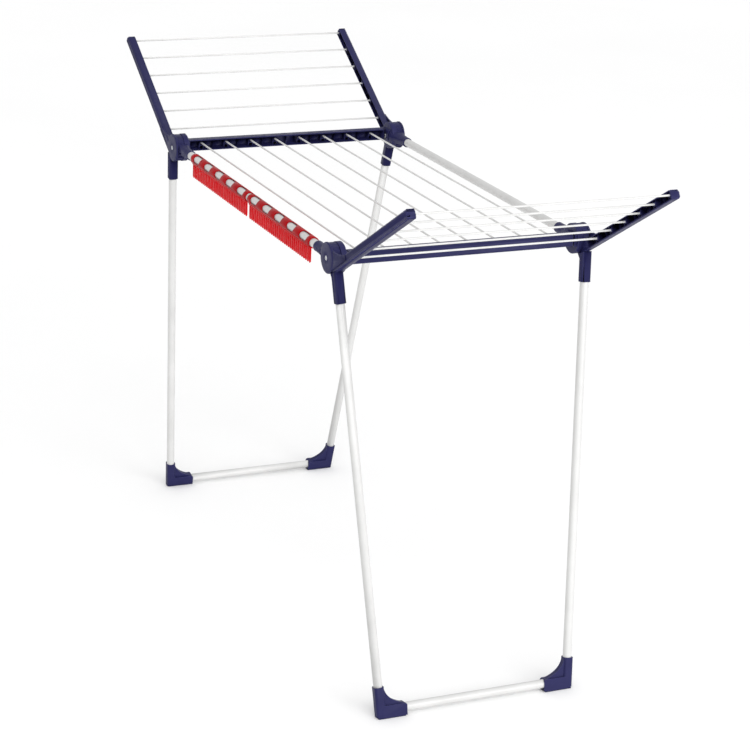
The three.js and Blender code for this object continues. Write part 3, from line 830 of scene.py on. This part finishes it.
# ---- Wings ----
def arm_shape():
    """A wing arm: cover disc, hollow-edged gusset, and a channel with a boss for each rod."""
    low, high = ARM_LOW, ARM_HIGH
    start, end, y0, y1 = ARM_START, ARM_END, ARM_Y0, ARM_Y1
    lips = [(y1, high, ARM_CORNER), (y0, high, LIP_CORNER)]
    section = fillet([(y0, low, LIP_CORNER), (y1, low, ARM_CORNER), *lips], 8)
    body = prism(section, start, end, "X")
    end_low, end_high = ARM_END_CORNERS
    side = [(start, low, 0), (end, low, end_low), (end, high, end_high), (start, high, 0)]
    common(body, prism(fillet(side, 10), y0 - 1, y1 + 1))
    cut(body, bar(WING_HUB_R + ARM_HUB_GAP, y0 - CUT_PAST, WING_HUB_Y0, "Y", DISC_SIDES))
    root, tip, root_corner = ARM_POCKET_START, end - ARM_TIP, POCKET_ROOT_CORNER
    bottom, top = low + ARM_WALL, high - ARM_WALL
    tip_low, tip_high = POCKET_END_CORNERS
    pocket = [
        (root, bottom, root_corner),
        (tip, bottom, tip_low),
        (tip, top, tip_high),
        (root, top, root_corner),
    ]
    cut(body, prism(fillet(pocket), y0 - CUT_PAST, y1 - ARM_BACK))
    sunk = y1 - RIB_SINK

    def rib(u, half_thick, y):
        return block((u - half_thick, u + half_thick), (y, sunk), (low + 1, high - 1))

    ribs, bores = [], []
    for u in WING_ROD_US:
        ribs += [rib(u + way * BOSS_HALF, RIB_HALF, y0 + RIB_INSET) for way in (-1, 1)]
        boss = bar(BOSS_R, y0 + BOSS_INSET, sunk, "Y", BORE_SIDES, ease=0.5)
        ribs.append(moved(boss, x=u, z=ARM_ROD_V))
        bore = bar(BOSS_BORE_R, y0 - CUT_PAST, y0 + WING_BORE_DEPTH, "Y", ROD_SIDES)
        bores.append(moved(bore, x=u, z=ARM_ROD_V))
    between = [u + ROD_PITCH / 2 for u in WING_ROD_US[:-1]]
    ribs += [rib(u, THIN_RIB_HALF, y0 + THIN_RIB_INSET) for u in between]
    union(body, *ribs)
    cut(body, *bores)
    disc = lathe(
        [
            (0, WING_HUB_Y0),
            (WING_HUB_R - 0.5, WING_HUB_Y0),
            (WING_HUB_R, WING_HUB_Y0 + 0.6),
            (WING_HUB_R, WING_HUB_Y1 - 2.4),
            (WING_HUB_R - 0.7, WING_HUB_Y1 - 1.4),
            (WING_HUB_R - 2.2, WING_HUB_Y1 - 0.7),
            (WING_HUB_R - 5, WING_HUB_Y1 - 0.3),
            (15, WING_HUB_Y1),
            (0, WING_HUB_Y1),
        ],
        "Y",
        DISC_SIDES,
    )
    edge = curve((GUSSET_END, high - 3), GUSSET_BEND, GUSSET_TOP)
    rest = [(0, 0), (start, low + ARM_CORNER), (GUSSET_END, low + ARM_CORNER)]
    gusset = prism(edge + rest, WING_HUB_Y0, y1 + GUSSET_PROUD)
    union(body, disc, gusset)
    shaft = bar(RIVET_R + GAP, 270, 290, "Y", BORE_SIDES)
    seat = bar(RIVET_HEAD + GAP, WING_HUB_Y1 - RIVET_SEAT - GAP, 290, "Y", SEAT_SIDES)
    cut(body, shaft, seat)
    return softened(body, width=0.7)


def make_wings():
    arm, rod = arm_shape(), rod_shape(WING_ROD_HALF, "Y")
    for end_name, end in ENDS.items():
        body = f"wing_{end_name}"
        for side_name, side in SIDES.items():
            matrix = corner_matrix(end, side, WING_ANGLE)
            place(arm, f"wing_arm_{end_name}_{side_name}", body, "navy_plastic", NAVY, matrix)
        for i, u in enumerate(WING_ROD_US):
            matrix = corner_matrix(end, 1, WING_ANGLE) @ Matrix.Translation((u, 0, ARM_ROD_V))
            place(rod, f"wing_rod_{end_name}_{i + 1}", body, "white_wire", ROD, matrix)
    discard(arm)
    discard(rod)


# ---- Small-item holders ----
def holder_shape():
    """A clip with rounded windows over the rail, and a ribbed skirt with a scalloped edge."""
    clip = bar(HOLDER_R, 0, HOLDER_LENGTH, "X", CLIP_SIDES)
    mouth = block((-1, HOLDER_LENGTH + 1), (-MOUTH_HALF, MOUTH_HALF), (-HOLDER_R - 1, 0))
    cut(clip, turned(mouth, Matrix.Rotation(MOUTH_TURN, 4, "X")))
    pitch = HOLDER_LENGTH / WINDOWS
    for i in range(WINDOWS):
        middle = (i + 0.5) * pitch
        ends = (middle - WINDOW_REACH, middle + WINDOW_REACH)
        outline = rectangle(*ends, -WINDOW_HALF, WINDOW_HALF, WINDOW_HALF - 0.5, 10)
        window = prism(outline, 0, WINDOW_DEPTH, "Z")
        cut(clip, turned(window, Matrix.Rotation(WINDOW_TURN, 4, "X")))
    step = HOLDER_LENGTH / TEETH
    edge = [(HOLDER_LENGTH, SKIRT_TOP), (0, SKIRT_TOP)]
    for i in range(TEETH):
        for k in range(TOOTH_STEPS):
            drop = TOOTH * math.sin(math.pi * k / TOOTH_STEPS)
            edge.append(((i + k / TOOTH_STEPS) * step, SKIRT_BOTTOM - drop))
    edge.append((HOLDER_LENGTH, SKIRT_BOTTOM))
    skirt = prism(edge, SKIRT_Y0 + SKIRT_RIB_PROUD, SKIRT_Y1 - SKIRT_RIB_PROUD)
    ribs = []
    for i in range(TEETH):
        middle = (i + 0.5) * step
        sides = (middle - SKIRT_RIB_HALF, middle + SKIRT_RIB_HALF)
        outline = rectangle(*sides, *SKIRT_RIB_ZS, SKIRT_RIB_CORNER, 4)
        ribs.append(prism(outline, SKIRT_Y0, SKIRT_Y1))
    bead = moved(bar(BEAD_R, 0, HOLDER_LENGTH, "X", ROD_SIDES), y=BEAD_Y, z=BEAD_Z)
    union(skirt, *ribs, bead)
    union(clip, skirt)
    cut(clip, bar(RAIL_R + GAP, -1, HOLDER_LENGTH + 1, "X", CLIP_SIDES))
    return softened(clip, width=0.3, segments=2)


def make_holders():
    holder = holder_shape()
    left = SIDES["left"]
    mirror = Matrix.Diagonal((1, left, 1, 1))
    for end_name, start in HOLDER_STARTS.items():
        matrix = Matrix.Translation((start, left * RAIL_Y, PIVOT_Z)) @ mirror
        node = f"small_item_holder_{end_name}"
        place(holder, node, f"holder_{end_name}", "red_plastic", RED, matrix)
    discard(holder)


# ---- Stage, lights and camera ----
def make_stage():
    floor = bpy.data.objects.new("floor", bpy.data.meshes.new("floor"))
    reach = FLOOR_REACH
    corners = [(-reach, -reach, 0), (reach, -reach, 0), (reach, reach, 0), (-reach, reach, 0)]
    floor.data.from_pydata(corners, [], [(0, 1, 2, 3)])
    bpy.context.scene.collection.objects.link(floor)
    look = Look("pale_floor", 0.7)
    look.colour(look.mix(look.mapped(look.noise(0.7), 0, 1), FLOOR_GREY, FLOOR_PALE))
    floor.data.materials.append(look.material)

    world = bpy.data.worlds.new("studio")
    bpy.context.scene.world = world
    world.use_nodes = True
    background = world.node_tree.nodes["Background"]
    background.inputs["Color"].default_value = (1, 1, 1, 1)
    background.inputs["Strength"].default_value = WORLD_STRENGTH


def make_lights():
    """A wide, soft sun from the front and a softbox beside the camera; the world does the rest."""
    sun_data = bpy.data.lights.new("soft_sun", "SUN")
    sun_data.energy = SUN_ENERGY
    sun_data.angle = SUN_SPREAD
    sun = bpy.data.objects.new("soft_sun", sun_data)
    sun.rotation_euler = Vector(SUN_WAY).to_track_quat("-Z", "Y").to_euler()
    box_data = bpy.data.lights.new("front_softbox", "AREA")
    box_data.shape = "RECTANGLE"
    box_data.size, box_data.size_y = SOFTBOX_SIZE
    box_data.energy = SOFTBOX_ENERGY
    box = bpy.data.objects.new("front_softbox", box_data)
    box.location = SOFTBOX_PLACE
    way = Vector(SOFTBOX_AIM) - box.location
    box.rotation_euler = way.to_track_quat("-Z", "Y").to_euler()
    for light in (sun, box):
        bpy.context.scene.collection.objects.link(light)


def make_camera():
    data = bpy.data.cameras.new("camera")
    data.sensor_width = 36
    data.lens = CAMERA_LENS
    data.shift_x = CAMERA_SHIFT
    data.clip_end = CAMERA_REACH
    camera = bpy.data.objects.new("camera", data)
    bpy.context.scene.collection.objects.link(camera)
    heading, pitch, roll = CAMERA_HEADING, CAMERA_PITCH, CAMERA_ROLL
    level = math.cos(pitch)
    forward = Vector((level * math.cos(heading), level * math.sin(heading), -math.sin(pitch)))
    across = Vector((forward.y, -forward.x, 0)).normalized()
    down = forward.cross(across)
    x_axis = across * math.cos(roll) - down * math.sin(roll)
    y_axis = -(across * math.sin(roll) + down * math.cos(roll))
    rotation = Matrix((x_axis, y_axis, -forward)).transposed()
    camera.matrix_world = Matrix.Translation(CAMERA_PLACE) @ rotation.to_4x4()
    bpy.context.scene.camera = camera


make_camera()
make_frame()
make_legs()
make_wings()
make_holders()
make_stage()
make_lights()
bpy.context.scene.view_settings.view_transform = "Standard"

bpy.context.view_layer.update()
